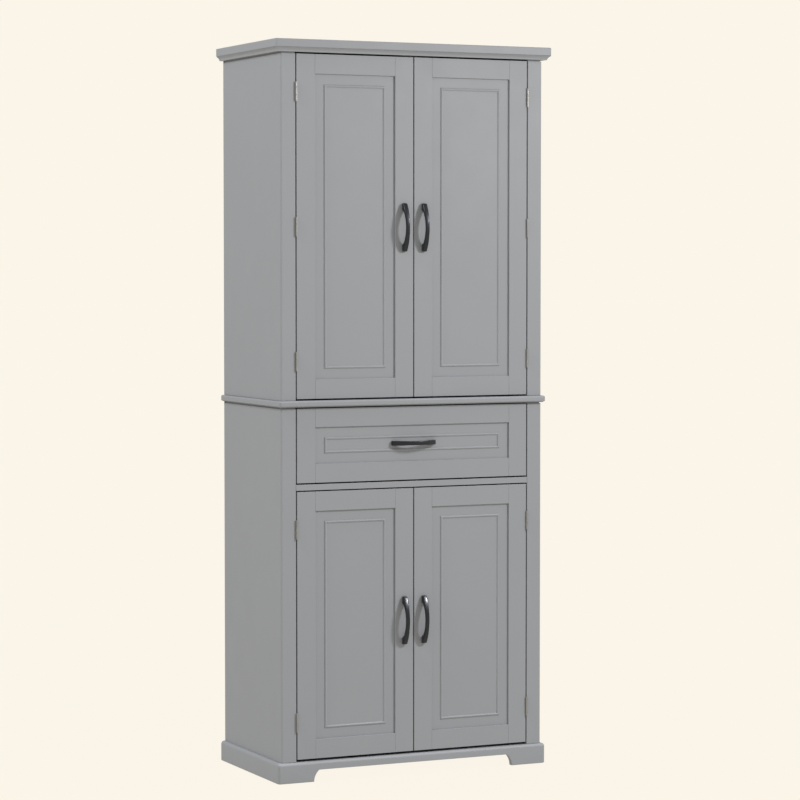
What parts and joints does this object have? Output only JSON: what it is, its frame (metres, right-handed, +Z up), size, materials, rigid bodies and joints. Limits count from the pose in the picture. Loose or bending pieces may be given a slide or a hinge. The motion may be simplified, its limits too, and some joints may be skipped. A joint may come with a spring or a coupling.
{
  "type": "pantry cabinet",
  "caption": "Tall free-standing pantry cabinet in two stacked units, with paired framed doors above and below, a drawer between them, bow handles, and a plinth with an arched toe gap.",
  "frame": {"origin": "on the floor, at the middle of the overall width and the overall depth, handles included", "axes": "+Z up; the doors face -Y; +X is on the right hand of somebody facing the cabinet"},
  "size_m": [0.76, 0.407, 1.834],
  "materials": {
    "painted_board": "satin grey paint on board",
    "back_board": "matt grey hardboard",
    "drawer_board": "pale laminate on board",
    "black_metal": "satin black",
    "nickel": "satin nickel plate",
    "runner_steel": "pale powder coat"
  },
  "bodies": {
    "cabinet": {"top_panel": "painted_board", "crown_moulding": "painted_board", "upper_side_left": "painted_board", "upper_side_right": "painted_board", "waist_board": "painted_board", "lower_side_left": "painted_board", "lower_side_right": "painted_board", "drawer_divider": "painted_board", "bottom_board": "painted_board", "upper_shelf_high": "painted_board", "upper_shelf_low": "painted_board", "lower_shelf": "painted_board", "plinth_front": "painted_board", "plinth_left": "painted_board", "plinth_right": "painted_board", "upper_back_panel": "back_board", "lower_back_panel": "back_board", "runner_cabinet_left": "runner_steel", "runner_cabinet_right": "runner_steel", "hinge_upper_left_top_frame_leaf": "nickel", "hinge_upper_left_middle_frame_leaf": "nickel", "hinge_upper_left_bottom_frame_leaf": "nickel", "hinge_upper_right_top_frame_leaf": "nickel", "hinge_upper_right_middle_frame_leaf": "nickel", "hinge_upper_right_bottom_frame_leaf": "nickel", "hinge_lower_left_top_frame_leaf": "nickel", "hinge_lower_left_bottom_frame_leaf": "nickel", "hinge_lower_right_top_frame_leaf": "nickel", "hinge_lower_right_bottom_frame_leaf": "nickel"},
    "upper_door_left": {"upper_door_left_frame": "painted_board", "upper_door_left_panel": "painted_board", "upper_door_left_handle": "black_metal", "hinge_upper_left_top_door_leaf": "nickel", "hinge_upper_left_middle_door_leaf": "nickel", "hinge_upper_left_bottom_door_leaf": "nickel"},
    "upper_door_right": {"upper_door_right_frame": "painted_board", "upper_door_right_panel": "painted_board", "upper_door_right_handle": "black_metal", "hinge_upper_right_top_door_leaf": "nickel", "hinge_upper_right_middle_door_leaf": "nickel", "hinge_upper_right_bottom_door_leaf": "nickel"},
    "lower_door_left": {"lower_door_left_frame": "painted_board", "lower_door_left_panel": "painted_board", "lower_door_left_handle": "black_metal", "hinge_lower_left_top_door_leaf": "nickel", "hinge_lower_left_bottom_door_leaf": "nickel"},
    "lower_door_right": {"lower_door_right_frame": "painted_board", "lower_door_right_panel": "painted_board", "lower_door_right_handle": "black_metal", "hinge_lower_right_top_door_leaf": "nickel", "hinge_lower_right_bottom_door_leaf": "nickel"},
    "drawer": {"drawer_front_frame": "painted_board", "drawer_front_panel": "painted_board", "drawer_handle": "black_metal", "drawer_side_left": "drawer_board", "drawer_side_right": "drawer_board", "drawer_back": "drawer_board", "drawer_bottom": "drawer_board", "runner_drawer_left": "runner_steel", "runner_drawer_right": "runner_steel"}
  },
  "joints": [
    {"name": "upper_door_left_hinge", "type": "hinge", "parent": "cabinet", "child": "upper_door_left", "pos_m": [-0.3195, -0.1792, 1.3755], "axis": [0, 0, -1], "range_deg": [0, 170]},
    {"name": "upper_door_right_hinge", "type": "hinge", "parent": "cabinet", "child": "upper_door_right", "pos_m": [0.3195, -0.1792, 1.3755], "axis": [0, 0, 1], "range_deg": [0, 170]},
    {"name": "lower_door_left_hinge", "type": "hinge", "parent": "cabinet", "child": "lower_door_left", "pos_m": [-0.3195, -0.1792, 0.3895], "axis": [0, 0, -1], "range_deg": [0, 170]},
    {"name": "lower_door_right_hinge", "type": "hinge", "parent": "cabinet", "child": "lower_door_right", "pos_m": [0.3195, -0.1792, 0.3895], "axis": [0, 0, 1], "range_deg": [0, 170]},
    {"name": "drawer_slide", "type": "slide", "parent": "cabinet", "child": "drawer", "axis": [0, -1, 0], "range_m": [0, 0.24]}
  ]
}
